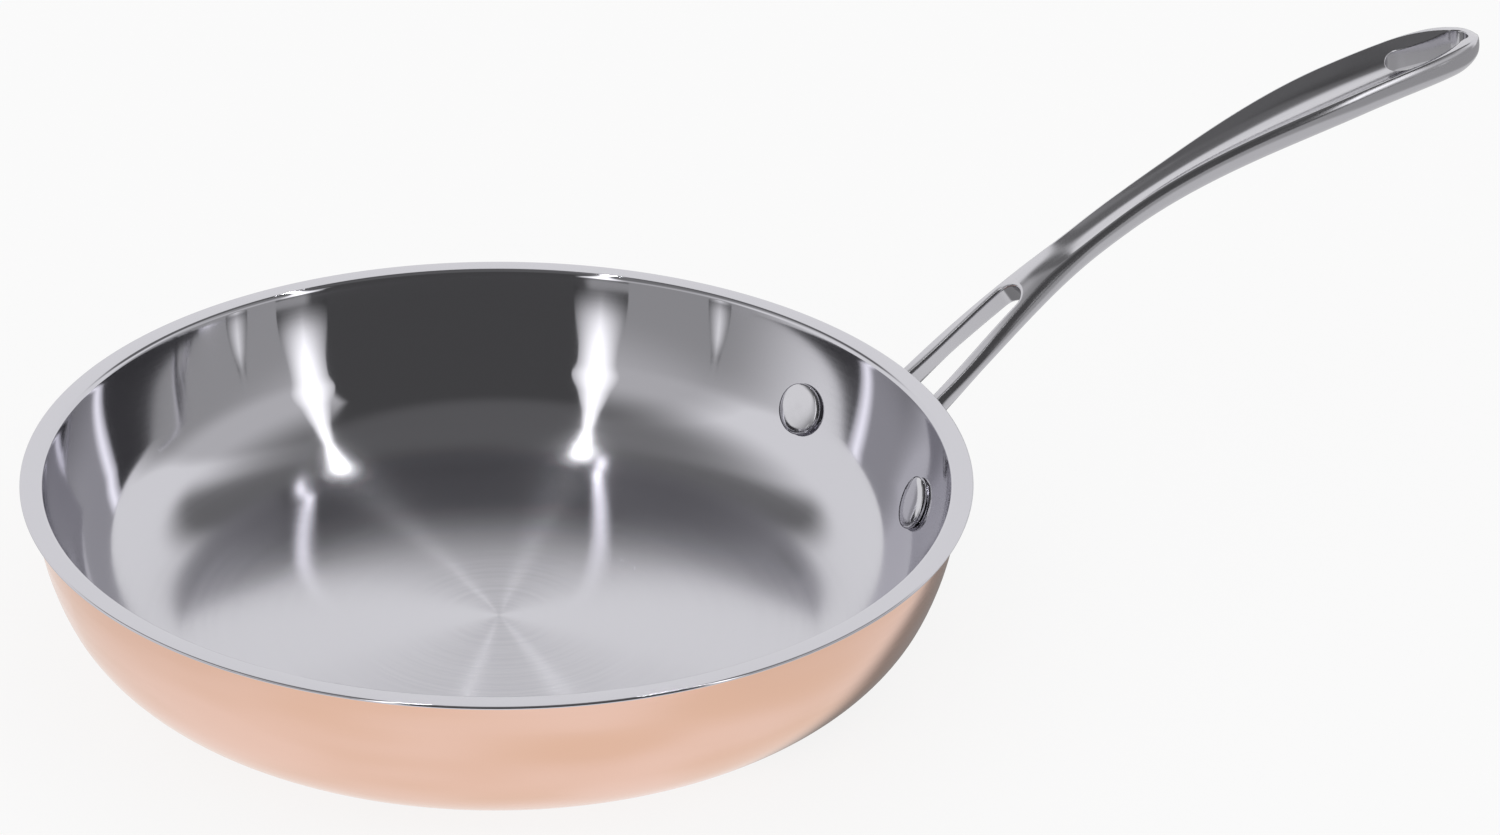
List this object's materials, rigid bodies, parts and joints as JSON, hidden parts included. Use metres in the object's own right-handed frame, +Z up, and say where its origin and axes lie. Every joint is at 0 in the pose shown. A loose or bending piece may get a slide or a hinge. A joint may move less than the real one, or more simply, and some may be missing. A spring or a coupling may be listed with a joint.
{
  "type": "flambe pan",
  "caption": "Shallow round pan with a copper shell, aluminium core and steel liner with a flat pouring lip, and a riveted steel handle that is forked, dished and has a hanging eye.",
  "frame": {"origin": "centre of the flat underside that the pan stands on", "axes": "+Z up along the bowl's axis, +X from the bowl towards the handle's tip"},
  "size_m": [0.419, 0.24, 0.1103],
  "materials": {
    "copper": "polished copper",
    "core": "rolled, hidden between the other plies",
    "liner": "mirror-polished stainless steel",
    "handle": "cast stainless steel, polished",
    "rivet": "polished stainless steel"
  },
  "bodies": {
    "root": {"copper_shell": "copper", "aluminium_core": "core", "steel_liner": "liner", "handle": "handle", "rivet_left": "rivet", "rivet_right": "rivet"}
  },
  "joints": []
}
